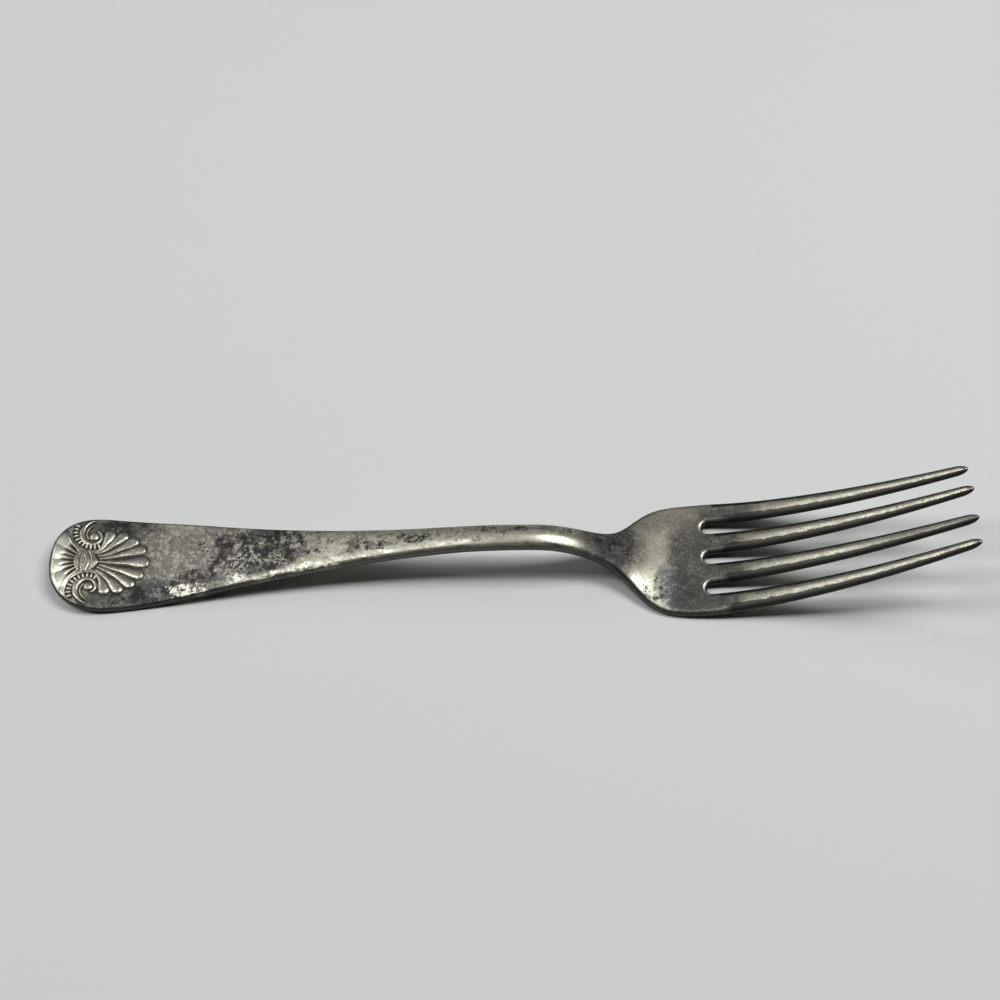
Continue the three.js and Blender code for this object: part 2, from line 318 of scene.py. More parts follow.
TAIL_LINE_SHARE = 0.6
BEAD_MIDDLE = (8.1, 7.0)
BEAD_RING = 3.65
BEAD_COUNT = 11
BEAD_START = math.radians(158)
BEAD_SWEEP = math.radians(136)
BEAD_HALF_LENGTH = 0.6
BEAD_HALF_WIDTH = 0.22
BEAD_SHARE = 0.8
BEAD_FADE = 0.25
CHANNEL_HALF = 0.68
CHANNEL_DEPTH = 0.3
COLLAR_RING = 4.75
COLLAR_HALF = 0.55
COLLAR_HEIGHT = 0.16
FLUTE_PERIOD = math.radians(14.5)
FLUTE_FAN = math.radians(58)
FLUTE_FADE = 0.12
FLUTE_SOURCE = BUD_MIDDLE + 0.3
FLUTE_HEIGHT = 0.12
FLUTE_SWELL = 0.16
SLIT_DEPTH = 0.5
SLIT_FULL_REACH = 3.6
SLIT_REACH = 6.0


def dome(ratio, power=0.5):
    return np.clip(1 - ratio * ratio, 0, None) ** power


def club_relief(x, side, root, bend, bulb, radius):
    relief = np.zeros_like(x)
    for share in np.linspace(0, 1, CLUB_STEPS):
        ways = ((1 - share) ** 2, 2 * share * (1 - share), share**2)
        spine_x = sum(way * spot[0] for way, spot in zip(ways, (root, bend, bulb)))
        spine_y = sum(way * spot[1] for way, spot in zip(ways, (root, bend, bulb)))
        stalk = CLUB_ROOT_HALF + CLUB_SPREAD * share
        half = stalk + (radius - CLUB_ROOT_HALF - CLUB_SPREAD) * smooth(share, 0.55, 0.92)
        rise = (1 - CLUB_ROOT_HEIGHT_SHARE) * smooth(share, 0.35, 0.85)
        height = CLUB_HEIGHT * (CLUB_ROOT_HEIGHT_SHARE + rise)
        relief = np.maximum(relief, height * dome(np.hypot(x - spine_x, side - spine_y) / half))
    return relief


def furrow(x, place, width):
    return np.exp(-(((x - place) / width) ** 2))


def bud_relief(x, side):
    """A pillow with a round back and a point, a groove that parts its rim from its leaf, and a crease."""
    back = np.clip((BUD_MIDDLE - x) / BUD_BACK, 0, None)
    point = np.clip((x - BUD_MIDDLE) / BUD_POINT, 0, None)
    round_back = np.clip(1 - back**BUD_ROUNDNESS, 0, None) ** (1 / BUD_ROUNDNESS)
    sharp_front = np.clip(1 - point**BUD_POINT_POWER, 0, None)
    outline = BUD_HALF * np.where(x < BUD_MIDDLE, round_back, sharp_front)
    depth = np.where((back < 1) & (point < 1), outline - side, -1)
    crown = BUD_RIM_SHARE + (1 - BUD_RIM_SHARE) * smooth(depth, 0.0, 2.2)
    pillow = BUD_HEIGHT * smooth(depth, -0.02, 0.2) * crown
    bow = np.clip(1 - (side / BUD_HALF) ** 2, 0, None)
    groove = LEAF_RIM_DEPTH * furrow(x, LEAF_RIM - LEAF_BOW * bow, LEAF_RIM_WIDTH)
    front = LEAF_FRONT_DEPTH * furrow(x, LEAF_FRONT + LEAF_FRONT_BOW * bow, LEAF_FRONT_WIDTH)
    crease = LEAF_CREASE_DEPTH * furrow(x, LEAF_CREASE, LEAF_CREASE_WIDTH) * smooth(side, 1.7, 0.6)
    lines = np.maximum(groove, front) + crease
    return np.where(depth > 0, np.clip(pillow - lines, 0.03, None), 0)


def scroll_relief(x, side):
    eye_x, eye_y = SCROLL_EYE
    eye = dome(np.hypot(x - eye_x, side - eye_y) / SCROLL_EYE_RADIUS, 0.35)
    relief = RELIEF_HEIGHT * SCROLL_EYE_SHARE * eye
    for share in np.linspace(0, 1, SCROLL_STEPS):
        angle = SCROLL_START + SCROLL_TURN * share
        ring = SCROLL_INNER + (SCROLL_OUTER - SCROLL_INNER) * share**3
        away = np.hypot(x - eye_x - ring * math.cos(angle), side - eye_y - ring * math.sin(angle))
        half = SCROLL_HALF + SCROLL_SWELL * smooth(share, 0.1, 0.6) - SCROLL_TAPER * smooth(share, 0.8, 1.0)
        relief = np.maximum(relief, RELIEF_HEIGHT * dome(away / half, 0.42))
        if share > TAIL_LINE_START:
            inner = ring - TAIL_LINE_INSET
            away = np.hypot(x - eye_x - inner * math.cos(angle), side - eye_y - inner * math.sin(angle))
            relief = np.maximum(relief, RELIEF_HEIGHT * TAIL_LINE_SHARE * dome(away / TAIL_LINE_HALF))
    return relief


def bead_relief(x, side):
    ring_x, ring_y = BEAD_MIDDLE
    relief = np.zeros_like(x)
    for count in range(BEAD_COUNT):
        angle = BEAD_START + BEAD_SWEEP * count / (BEAD_COUNT - 1)
        out_x = x - ring_x - BEAD_RING * math.cos(angle)
        out_y = side - ring_y - BEAD_RING * math.sin(angle)
        radial = out_x * math.cos(angle) + out_y * math.sin(angle)
        around = out_y * math.cos(angle) - out_x * math.sin(angle)
        away = np.hypot(radial / BEAD_HALF_LENGTH, around / BEAD_HALF_WIDTH)
        relief = np.maximum(relief, RELIEF_HEIGHT * BEAD_SHARE * dome(away, 0.35))
    return relief


def bead_channel(x, side):
    """The channel that the beads lie in, and the collar outside it."""
    ring_x, ring_y = BEAD_MIDDLE
    ring = np.hypot(x - ring_x, side - ring_y)
    angle = np.mod(np.arctan2(side - ring_y, x - ring_x), 2 * math.pi)
    bead_end = BEAD_START + BEAD_SWEEP
    fade_in = smooth(angle, BEAD_START - BEAD_FADE, BEAD_START)
    fade_out = smooth(angle, bead_end + BEAD_FADE, bead_end)
    swept = fade_in * fade_out
    channel = dome(np.minimum(np.abs(ring - BEAD_RING) / CHANNEL_HALF, 1)) * swept
    collar = dome(np.minimum(np.abs(ring - COLLAR_RING) / COLLAR_HALF, 1)) * swept
    return COLLAR_HEIGHT * collar - CHANNEL_DEPTH * channel


def flute_relief(x, y):
    """Swelling flutes from the bud to the rim, parted by slits that fade on the way."""
    angle = np.arctan2(y, FLUTE_SOURCE - x)
    reach = np.hypot(FLUTE_SOURCE - x, y)
    fan = smooth(np.abs(angle), FLUTE_FAN, FLUTE_FAN - FLUTE_FADE) * (x < BUD_MIDDLE)
    ridge = np.abs(np.sin(np.pi * angle / FLUTE_PERIOD)) ** 0.9
    swell = np.abs(np.sin(np.pi * angle / (2 * FLUTE_PERIOD))) ** 0.8
    slits = SLIT_DEPTH * smooth(reach, SLIT_REACH, SLIT_FULL_REACH)
    return fan * smooth(reach, 1.8, 2.4) * (FLUTE_HEIGHT + FLUTE_SWELL * swell - slits * (1 - ridge))


def shell_relief(x, y, depth):
    side = np.abs(y)
    raised = np.maximum(bud_relief(x, side), scroll_relief(x, side))
    raised = np.maximum(raised, bead_relief(x, side))
    for root, bend, bulb, radius in CLUBS:
        raised = np.maximum(raised, club_relief(x, side, root, bend, bulb, radius))
    ground = bead_channel(x, side) + flute_relief(x, y)
    relief = np.where(raised > 0.02, np.maximum(raised, ground), ground)
    return relief * smooth(depth, 0.1, 0.9)


# Mesh building: each piece is a top and a bottom sheet that meet along the rim, with its cut ends closed
SEAM_STEP = 0.08
WELD_DISTANCE = 1e-8
# Marks of wear, painted shade and painted highlights, carried on each piece's top sheet
WEAR_AND_LIGHT_MARKS = ("hollow", "raised", "bead", "slot_rim", "tine_shade")


def between(start, end, step):
    """Stations a step apart, with one more close to each end so that neighbouring pieces shade as one."""
    count = max(2, round((end - start) / step))
    inner = np.linspace(start, end, count + 1)[1:-1]
    return np.concatenate([[start, start + SEAM_STEP], inner, [end - SEAM_STEP, end]])


def crowded(count):
    """Places from edge to edge, crowded towards both edges."""
    return -np.cos(np.linspace(0, np.pi, count + 1))


def grid_faces(first, rows, columns, flip):
    row, column = np.meshgrid(np.arange(rows - 1), np.arange(columns - 1), indexing="ij")
    corner = first + row * columns + column
    loop = np.stack([corner, corner + columns, corner + columns + 1, corner + 1], axis=-1).reshape(-1, 4)
    return (loop[:, ::-1] if flip else loop).tolist()


def fork_piece(node, top, bottom, edge_top, edge_bottom, wear_and_light_marks=None):
    """One closed piece from two grids of points, standing for its node."""
    points = np.concatenate([top.reshape(-1, 3), bottom.reshape(-1, 3)])
    faces = grid_faces(0, *top.shape[:2], flip=False)
    faces += grid_faces(top.shape[0] * top.shape[1], *bottom.shape[:2], flip=True)
    plain = np.zeros_like(edge_top)
    marks = {"from_edge": np.concatenate([edge_top.ravel(), edge_bottom.ravel()])}
    for name in WEAR_AND_LIGHT_MARKS:
        mark = (wear_and_light_marks or {}).get(name, plain)
        marks[name] = np.concatenate([mark.ravel(), np.zeros(edge_bottom.size)])

    mesh = bpy.data.meshes.new(node + "_silver")
    mesh.from_pydata(points.tolist(), [], faces)
    for name, values in marks.items():
        layer = mesh.attributes.new(name, "FLOAT", "POINT")
        layer.data.foreach_set("value", values.astype(np.float32))
    shape = bmesh.new()
    shape.from_mesh(mesh)
    bmesh.ops.remove_doubles(shape, verts=shape.verts, dist=WELD_DISTANCE)
    for face in shape.faces:
        face.smooth = True
    open_edges = [edge for edge in shape.edges if edge.is_boundary]
    for face in bmesh.ops.holes_fill(shape, edges=open_edges, sides=0)["faces"]:
        face.smooth = False
        for edge in face.edges:
            edge.smooth = False
    bmesh.ops.recalc_face_normals(shape, faces=shape.faces)
    shape.to_mesh(mesh)
    shape.free()

    piece = bpy.data.objects.new(node + "_silver", mesh)
    bpy.context.scene.collection.objects.link(piece)
    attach(piece, "root")
    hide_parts(node)
    return piece


def handle_sheet(stations, columns, side, with_shell=False):
    """Points of the top (side 1) or bottom (side -1) sheet of a stretch of the handle, stem or neck."""
    x, place = np.meshgrid(stations, columns, indexing="ij")
    half = half_width(x)
    y = place * half
    depth = np.where(np.abs(place) == 1, 0, outline_depth(x, y))
    height = face_height(x, y, depth, edge_reach(x), half, side)
    relief = shell_relief(x, y, depth) if with_shell else np.zeros_like(x)
    beads = bead_relief(x, np.abs(y)) if with_shell else relief
    return bent(x, y, height + relief), depth, relief, beads


def blurred(values, reach):
    """A running mean over a square of cells, twice over."""
    size = 2 * reach + 1
    for _ in range(2):
        for axis in (0, 1):
            margins = [(0, 0), (0, 0)]
            margins[axis] = (reach + 1, reach)
            padded = np.pad(values, margins, mode="edge")
            total = np.cumsum(padded, axis=axis)
            ahead = np.take(total, np.arange(size, total.shape[axis]), axis=axis)
            behind = np.take(total, np.arange(0, total.shape[axis] - size), axis=axis)
            values = (ahead - behind) / size
    return values


RELIEF_STEP = 0.1
END_COLUMNS = 210
END_ROWS = 12
EDGE_COLUMNS = 9
EDGE_BAND = 0.09
HOLLOW_BLUR = 4
HOLLOW_DROP = 0.07
HOLLOW_DEPTH = 0.1
RAISED_HEIGHT = 0.2
BEAD_MARK_START = 0.12
BEAD_MARK_RISE = 0.16


def make_handle_end():
    round_rows = np.linspace(0, 1, END_ROWS) ** 2
    stations = np.concatenate([round_rows, between(1, END_CUT, RELIEF_STEP)[2:]])
    edge = 1 - EDGE_BAND * np.linspace(0, 1, EDGE_COLUMNS) ** 2
    middle = np.linspace(edge[-1], -edge[-1], END_COLUMNS)[1:-1]
    fine = np.concatenate([edge, middle, -edge[::-1]])[::-1]
    top, edge_top, relief, beads = handle_sheet(stations, fine, 1, with_shell=True)
    bottom, edge_bottom, *_ = handle_sheet(stations, crowded(40), -1)
    # The hollow mark is later painted black, tarnish deepened with painted shade; the bead mark is painted
    # pale, partly as a painted highlight
    dropped = (blurred(relief, HOLLOW_BLUR) - relief) / HOLLOW_DROP
    sunk = np.maximum(dropped, -relief / HOLLOW_DEPTH)
    marks = {
        "hollow": np.clip(sunk, 0, 1),
        "raised": np.clip(relief / RAISED_HEIGHT, 0, 1),
        "bead": np.clip((beads - BEAD_MARK_START) / BEAD_MARK_RISE, 0, 1),
    }
    return fork_piece("handle_end", top, bottom, edge_top, edge_bottom, marks)


def make_stretch(node, start, end, step, columns=56):
    stations = between(start, end, step)
    top, edge_top, *_ = handle_sheet(stations, crowded(columns), 1)
    bottom, edge_bottom, *_ = handle_sheet(stations, crowded(columns), -1)
    return fork_piece(node, top, bottom, edge_top, edge_bottom)


# The head: a dished palm with three round-ended slots, running out into four tines
TINE_COLUMNS = 22
SLOT_COLUMNS = 14
PALM_ROWS = 44
SLOT_RIM_DEPTH = 0.4
SLOT_RIM_HALF = 0.24
TINE_MIDDLES = [TINE_PITCH * place for place in (1.5, 0.5, -0.5, -1.5)]
TINE_TIPS = [OUTER_TIP_PLACE, INNER_TIP_PLACE, -INNER_TIP_PLACE, -OUTER_TIP_PLACE]
TIP_LEANS = [-0.27, 0.3, 0.05, -0.08]
TIP_SHORTAGES = [0.45, 0.0, 0.0, 0.15]
TINE_BOWS = [0.15, 0.03, 0.19, -0.17]


def palm_columns():
    """Distance across and last station of each column at the roots: tines, with slots' arcs between."""
    across, ends = [], []
    for count, middle in enumerate(reversed(TINE_MIDDLES)):
        tine = middle + TINE_ROOT_WIDTH / 2 * crowded(TINE_COLUMNS)
        across += list(tine if count == 0 else tine[1:])
        ends += [ROOT] * (TINE_COLUMNS + (1 if count == 0 else 0))
        if count < len(SLOT_MIDDLES):
            turn = np.linspace(-np.pi / 2, np.pi / 2, SLOT_COLUMNS + 1)[1:]
            across += list(SLOT_MIDDLES[count] + SLOT_WIDTH / 2 * np.sin(turn))
            ends += list(ROOT - SLOT_WIDTH / 2 * np.cos(turn))
    return np.array(across), np.array(ends)


def palm_sheet(side):
    across, ends = palm_columns()
    rows = np.concatenate([[0, 0.004], np.linspace(0, 1, PALM_ROWS)[1:-1], [0.999, 1]])
    share = 1 - (1 - rows) ** 1.5
    x = NECK_CUT + share[:, None] * (ends - NECK_CUT)
    y = across * half_width(x) / half_width(ends)
    half = half_width(x)
    depth = np.minimum(outline_depth(x, y), slot_depth(x, y))
    depth[:, 0] = depth[:, -1] = 0
    height = face_height(x, y, depth, edge_reach(x), half, side)
    rim = furrow(slot_depth(x, y), SLOT_RIM_DEPTH, SLOT_RIM_HALF) * smooth(x, ROOT - 0.2, ROOT - 0.9)
    return bent(x, y, height), depth, rim


def make_palm():
    top, edge_top, rim = palm_sheet(1)
    bottom, edge_bottom, _ = palm_sheet(-1)
    return fork_piece("palm", top, bottom, edge_top, edge_bottom, {"slot_rim": rim})


def tine_sheet(number, side):
    """Points of a tine's top or bottom sheet, their depth, and where its near half and far edge get painted
    shade.
    """
    turn = np.linspace(0, np.pi / 2, 11)
    tip = TIP - TIP_SHORTAGES[number]
    straight = between(ROOT, tip - TIP_ROUNDING, 1.0)
    stations = np.concatenate([straight[:-2], tip - TIP_ROUNDING + TIP_ROUNDING * np.sin(turn)])
    x, place = np.meshgrid(stations, crowded(TINE_COLUMNS), indexing="ij")
    along = (x - ROOT) / TINE_LENGTH
    past = np.clip((x - tip + TIP_ROUNDING) / TIP_ROUNDING, 0, 1)
    shrink = np.sqrt(1 - past**2)
    fullness = TINE_FULLNESS * 4 * along * (1 - along)
    width = TINE_ROOT_WIDTH + (TIP_WIDTH - TINE_ROOT_WIDTH) * along + fullness
    half = width / 2 * shrink
    middle = TINE_MIDDLES[number] + (TINE_TIPS[number] - TINE_MIDDLES[number]) * along
    bow = TINE_BOWS[number] * 4 * along * (1 - along)
    middle = middle + TIP_LEANS[number] * along + bow
    depth = half * (1 - np.abs(place))
    reach = np.minimum(edge_reach(x), np.maximum(0.97 * half, 1e-6))
    height = face_height(x, place, depth, reach, np.ones_like(x), side) * shrink
    # Painted shade: the near half and the far edge of the tine are later painted black
    near_half_shade = smooth(place, -0.08, -0.5) * smooth(along, 0.0, 0.12)
    far_edge_shade = smooth(place, 0.35, 0.75) * smooth(along, 0.0, 0.04)
    return bent(x, middle + place * half, height), depth, np.maximum(near_half_shade, far_edge_shade)


def make_tine(number):
    top, edge_top, sides = tine_sheet(number, 1)
    bottom, edge_bottom, _ = tine_sheet(number, -1)
    return fork_piece(f"tine_{number + 1}", top, bottom, edge_top, edge_bottom, {"tine_shade": sides})


# Materials
CLOT_RANGE = 0.44
CLOT_TOP = 0.72
CLOT_EDGE = 0.018
SCRATCH_STRETCH = (0.12, 4.0, 0.0)


def add_node(tree, kind, inputs=(), **settings):
    """A shader node with its settings and, by socket name or number, its values or links."""
    node = tree.nodes.new(kind)
    for name, value in settings.items():
        setattr(node, name, value)
    for socket, value in dict(inputs).items():
        if isinstance(value, bpy.types.NodeSocket):
            tree.links.new(value, node.inputs[socket])
        else:
            node.inputs[socket].default_value = value
    return node


def computed(tree, operation, *values):
    """The result of one arithmetic step."""
    return add_node(tree, "ShaderNodeMath", dict(enumerate(values)), operation=operation).outputs[0]


def computed_vector(tree, operation, *values):
    """The result of one step on vectors."""
    return add_node(tree, "ShaderNodeVectorMath", dict(enumerate(values)), operation=operation).outputs[0]


def eased_range(tree, value, low, high):
    """0 at low and 1 at high, with a soft start and end."""
    places = {"Value": value, "From Min": low, "From Max": high}
    return add_node(tree, "ShaderNodeMapRange", places, interpolation_type="SMOOTHSTEP").outputs[0]


def noise(tree, position, scale, detail, roughness=0.6):
    settings = {"Vector": position, "Scale": scale, "Detail": detail, "Roughness": roughness}
    return add_node(tree, "ShaderNodeTexNoise", settings).outputs["Fac"]


def effect(name, sockets):
    """An empty node group with named inputs and one Mask output."""
    tree = bpy.data.node_groups.new(name, "ShaderNodeTree")
    for socket, kind in sockets.items():
        tree.interface.new_socket(socket, in_out="INPUT", socket_type="NodeSocket" + kind)
    tree.interface.new_socket("Mask", in_out="OUTPUT", socket_type="NodeSocketFloat")
    given = tree.nodes.new("NodeGroupInput").outputs
    mask = tree.nodes.new("NodeGroupOutput").inputs["Mask"]
    return tree, given, mask


def make_ragged_patch():
    """A patch with a ragged rim, round a middle."""
    tree, given, mask = effect("ragged_patch", {
        "Position": "Vector", "Middle": "Vector", "Reach": "Vector",
        "Softness": "Float", "Raggedness": "Float", "Grain": "Float",
    })
    away = computed_vector(tree, "SUBTRACT", given["Position"], given["Middle"])
    share = computed_vector(tree, "DIVIDE", away, given["Reach"])
    distance = add_node(tree, "ShaderNodeVectorMath", {0: share}, operation="LENGTH").outputs["Value"]
    grain = computed(tree, "SUBTRACT", noise(tree, given["Position"], given["Grain"], 7.0, 0.68), 0.5)
    ragged = computed(tree, "MULTIPLY_ADD", grain, given["Raggedness"], distance)
    outside = computed(tree, "ADD", 1.0, given["Softness"])
    inside = computed(tree, "SUBTRACT", 1.0, given["Softness"])
    tree.links.new(eased_range(tree, ragged, outside, inside), mask)
    return tree


def make_tarnish_grains():
    """Clotted grains of tarnish: the higher the cover, the more of the surface they take."""
    tree, given, mask = effect("tarnish_grains", {
        "Position": "Vector", "Cover": "Float", "Grain": "Float",
    })
    clots = noise(tree, given["Position"], given["Grain"], 9.0, 0.72)
    level = computed(tree, "MULTIPLY_ADD", given["Cover"], -CLOT_RANGE, CLOT_TOP)
    low = computed(tree, "SUBTRACT", level, CLOT_EDGE)
    high = computed(tree, "ADD", level, CLOT_EDGE)
    tree.links.new(eased_range(tree, clots, low, high), mask)
    return tree


def make_hairline_scratches():
    """Fine scratches along one direction, broken up along their length."""
    tree, given, mask = effect("hairline_scratches", {
        "Position": "Vector", "Turn": "Float", "Amount": "Float",
    })
    turn = {"Vector": given["Position"], "Angle": given["Turn"]}
    turned = add_node(tree, "ShaderNodeVectorRotate", turn, rotation_type="Z_AXIS").outputs[0]
    drawn = computed_vector(tree, "MULTIPLY", turned, SCRATCH_STRETCH)
    lines = eased_range(tree, noise(tree, drawn, 1.0, 2.0), 0.6, 0.72)
    gaps = eased_range(tree, noise(tree, given["Position"], 0.3, 3.0), 0.45, 0.6)
    broken = computed(tree, "MULTIPLY", lines, gaps)
    tree.links.new(computed(tree, "MULTIPLY", broken, given["Amount"]), mask)
    return tree


class Finish:
    """The worn silver plate with its painted shade and highlights, built up layer over layer."""

    def __init__(self, name, color, roughness):
        self.material = bpy.data.materials.new(name)
        self.material.use_nodes = True
        self.tree = self.material.node_tree
        self.shader = self.tree.nodes["Principled BSDF"]
        self.shader.inputs["Specular IOR Level"].default_value = TARNISH_GLOSS
        self.shader.inputs["Specular Tint"].default_value = DULLED_EDGE
        place = add_node(self.tree, "ShaderNodeTexCoord").outputs["Object"]
        millimetres = {0: place, "Scale": 1 / MM}
        scaled = add_node(self.tree, "ShaderNodeVectorMath", millimetres, operation="SCALE")
        self.position = scaled.outputs[0]
        self.color = color
        self.roughness = roughness
        self.metallic = 1.0

    def attribute(self, name):
        return add_node(self.tree, "ShaderNodeAttribute", attribute_name=name).outputs["Fac"]

    def apply(self, group, **values):
        """The mask of an effect, its sockets given by name."""
        inputs = {"Position": self.position, **values}
        return add_node(self.tree, "ShaderNodeGroup", inputs, node_tree=group).outputs["Mask"]

    def greatest(self, *masks):
        total = masks[0]
        for mask in masks[1:]:
            total = computed(self.tree, "MAXIMUM", total, mask)
        return total

    def scaled(self, mask, share):
        return computed(self.tree, "MULTIPLY", mask, share)

    def spared(self, mask, other, share):
        """A mask, with a share of it taken away where another mask lies."""
        left = computed(self.tree, "MULTIPLY_ADD", other, -share, 1.0)
        return computed(self.tree, "MULTIPLY", mask, left)

    def blend(self, mask, under, over, kind):
        factor, first, second, result = {"FLOAT": (0, 2, 3, 0), "RGBA": (0, 6, 7, 2)}[kind]
        values = {factor: mask, first: under, second: over}
        return add_node(self.tree, "ShaderNodeMix", values, data_type=kind).outputs[result]

    def cover(self, mask, color, roughness, metallic=1.0, share=None):
        """Lay a colour, roughness and metallic value over what is there, by a mask or a share of it."""
        if share is not None:
            mask = self.scaled(mask, share)
        self.color = self.blend(mask, self.color, color, "RGBA")
        self.roughness = self.blend(mask, self.roughness, roughness, "FLOAT")
        self.metallic = self.blend(mask, self.metallic, metallic, "FLOAT")

    def bump(self, height, distance):
        before = self.shader.inputs["Normal"].links
        inputs = {"Height": height, "Distance": distance}
        if before:
            inputs["Normal"] = before[0].from_socket
        node = add_node(self.tree, "ShaderNodeBump", inputs)
        self.tree.links.new(node.outputs[0], self.shader.inputs["Normal"])

    def finished(self):
        layers = {"Base Color": self.color, "Roughness": self.roughness, "Metallic": self.metallic}
        for socket, value in layers.items():
            self.tree.links.new(value, self.shader.inputs[socket])
        return self.material


BROAD_DENTS = 0.00003
FINE_PITS = 0.000011
TARNISH_GLOSS = 0.2
DULLED_EDGE = (0.35, 0.35, 0.33, 1)
CLEAN_SILVER = (0.44, 0.43, 0.35, 1)
DULL_SILVER = (0.31, 0.305, 0.237, 1)
# Pale silver for rubbed and scratched places, also used for painted highlights
RUBBED_SILVER_AND_HIGHLIGHT = (0.82, 0.81, 0.69, 1)
FLECK_SILVER = (0.38, 0.37, 0.31, 1)
PLUM_TARNISH = (0.16, 0.139, 0.126, 1)
BROWN_TARNISH = (0.282, 0.257, 0.207, 1)
GREY_FILM = (0.165, 0.158, 0.137, 1)
DEEP_FILM = (0.078, 0.075, 0.067, 1)
BLUE_FILM = (0.056, 0.068, 0.069, 1)
# Dark and black tarnish, also used for painted shade on edges, hollows and the tines' sides
DARK_TARNISH_AND_SHADE = (0.075, 0.071, 0.07, 1)
BLACK_TARNISH_AND_SHADE = (0.028, 0.027, 0.027, 1)

# Places on the fork, in millimetres from its middle, with the reach of each patch along and across
FLAT = 1000.0
POLISHED_PATCHES = [((75.0, 0.0), (29.0, 30.0)), ((29.6, -5.2), (2.6, 3.4)), ((12.0, -0.8), (6.5, 1.6))]
PLUM_PATCHES = [((-66.0, 2.0), (10.0, 7.0)), ((-75.0, 7.0), (6.0, 3.5)), ((-72.0, 0.0), (4.0, 9.0))]
BROWN_PATCHES = [
    ((38.0, 4.5), (9.0, 9.0)),
    ((50.5, 10.0), (9.0, 3.2)),
]
FILM_PATCHES = [
    ((-79.0, 0.0), (9.0, 12.0)),
    ((-81.5, -8.6), (6.0, 3.6)),
    ((-91.5, 6.5), (4.5, 4.5)),
    ((-70.0, -8.0), (15.0, 3.8)),
    ((-53.0, 1.0), (13.0, 7.0)),
    ((22.5, 1.5), (6.5, 6.0)),
    ((42.0, 1.0), (6.5, 12.0)),
    ((33.5, 9.0), (6.0, 3.0)),
    ((42.0, -9.0), (7.0, 5.0)),
    ((48.0, 10.0), (7.5, 3.0)),
    ((47.0, -3.6), (5.0, 2.6)),
    ((86.0, -2.8), (12.0, 1.4)),
]
DEEP_PATCHES = [
    ((-72.0, -7.6), (12.0, 2.9)),
    ((-82.5, -9.0), (5.0, 2.4)),
    ((-79.8, -7.6), (3.0, 2.0)),
    ((-73.0, -5.4), (4.5, 1.5)),
    ((-64.5, -5.0), (8.0, 1.1)),
    ((-80.0, 8.6), (8.0, 2.2)),
    ((-91.5, 7.0), (4.0, 3.2)),
    ((23.0, 1.0), (6.0, 7.0)),
    ((45.8, 1.0), (5.8, 12.0)),
    ((39.8, -8.0), (6.8, 6.0)),
    ((38.2, 1.5), (2.2, 5.5)),
    ((48.0, 9.4), (6.5, 2.6)),
    ((47.0, -10.0), (3.5, 3.0)),
    ((47.5, -3.5), (4.0, 2.6)),
]
BLUE_PATCHES = [((36.2, -7.0), (3.6, 6.2)), ((-71.5, -8.0), (8.5, 2.3)), ((-81.8, 8.4), (3.8, 1.8))]
GRAIN_PATCHES = [
    # middle, reach and how thickly the grains lie
    ((-91.5, 6.0), (4.0, 4.0), 0.25),
    ((-51.0, 0.8), (11.8, 6.2), 0.6),
    ((-72.5, -7.4), (11.5, 3.2), 0.55),
    ((-64.0, -3.8), (5.0, 1.6), 0.5),
    ((-81.0, -8.6), (5.5, 2.4), 0.3),
    ((-78.5, 8.6), (5.5, 1.8), 0.4),
    ((-82.0, 8.4), (3.4, 1.7), 0.85),
    ((-30.0, 0.5), (12.0, 3.5), 0.3),
    ((-27.0, -0.5), (4.5, 1.1), 0.55),
    ((-17.8, 0.4), (4.0, 1.6), 0.5),
    ((-7.0, 0.0), (13.0, 2.6), 0.27),
    ((0.0, 1.2), (9.0, 0.9), 0.4),
    ((11.0, 1.4), (6.0, 1.0), 0.42),
    ((23.5, 0.5), (5.5, 6.0), 0.46),
    ((32.3, -7.5), (4.5, 4.5), 0.36),
    ((47.5, -1.0), (5.0, 12.0), 0.26),
    ((72.0, 0.0), (26.0, 14.0), 0.16),
]
# Rubbed places along the handle's near edge, where a highlight is painted too
RUBBED_AND_HIGHLIGHT_PATCHES = [
    ((-66.1, -7.2), (4.0, 1.3)),
    ((-55.2, -5.3), (2.1, 1.0)),
    ((-49.0, -6.3), (3.5, 0.8)),
    ((-44.8, -5.2), (3.5, 0.9)),
    ((-38.5, -3.9), (4.5, 0.9)),
]
# Where a highlight is painted on the end of the handle
CREAM_HIGHLIGHT_PATCH = ((-93.2, -2.0), (2.2, 6.5))
HANDLE_RIM = ((-27.0, 0.0), (27.0, FLAT))
HANDLE_FLAT = ((-58.0, 0.0), (38.0, FLAT))


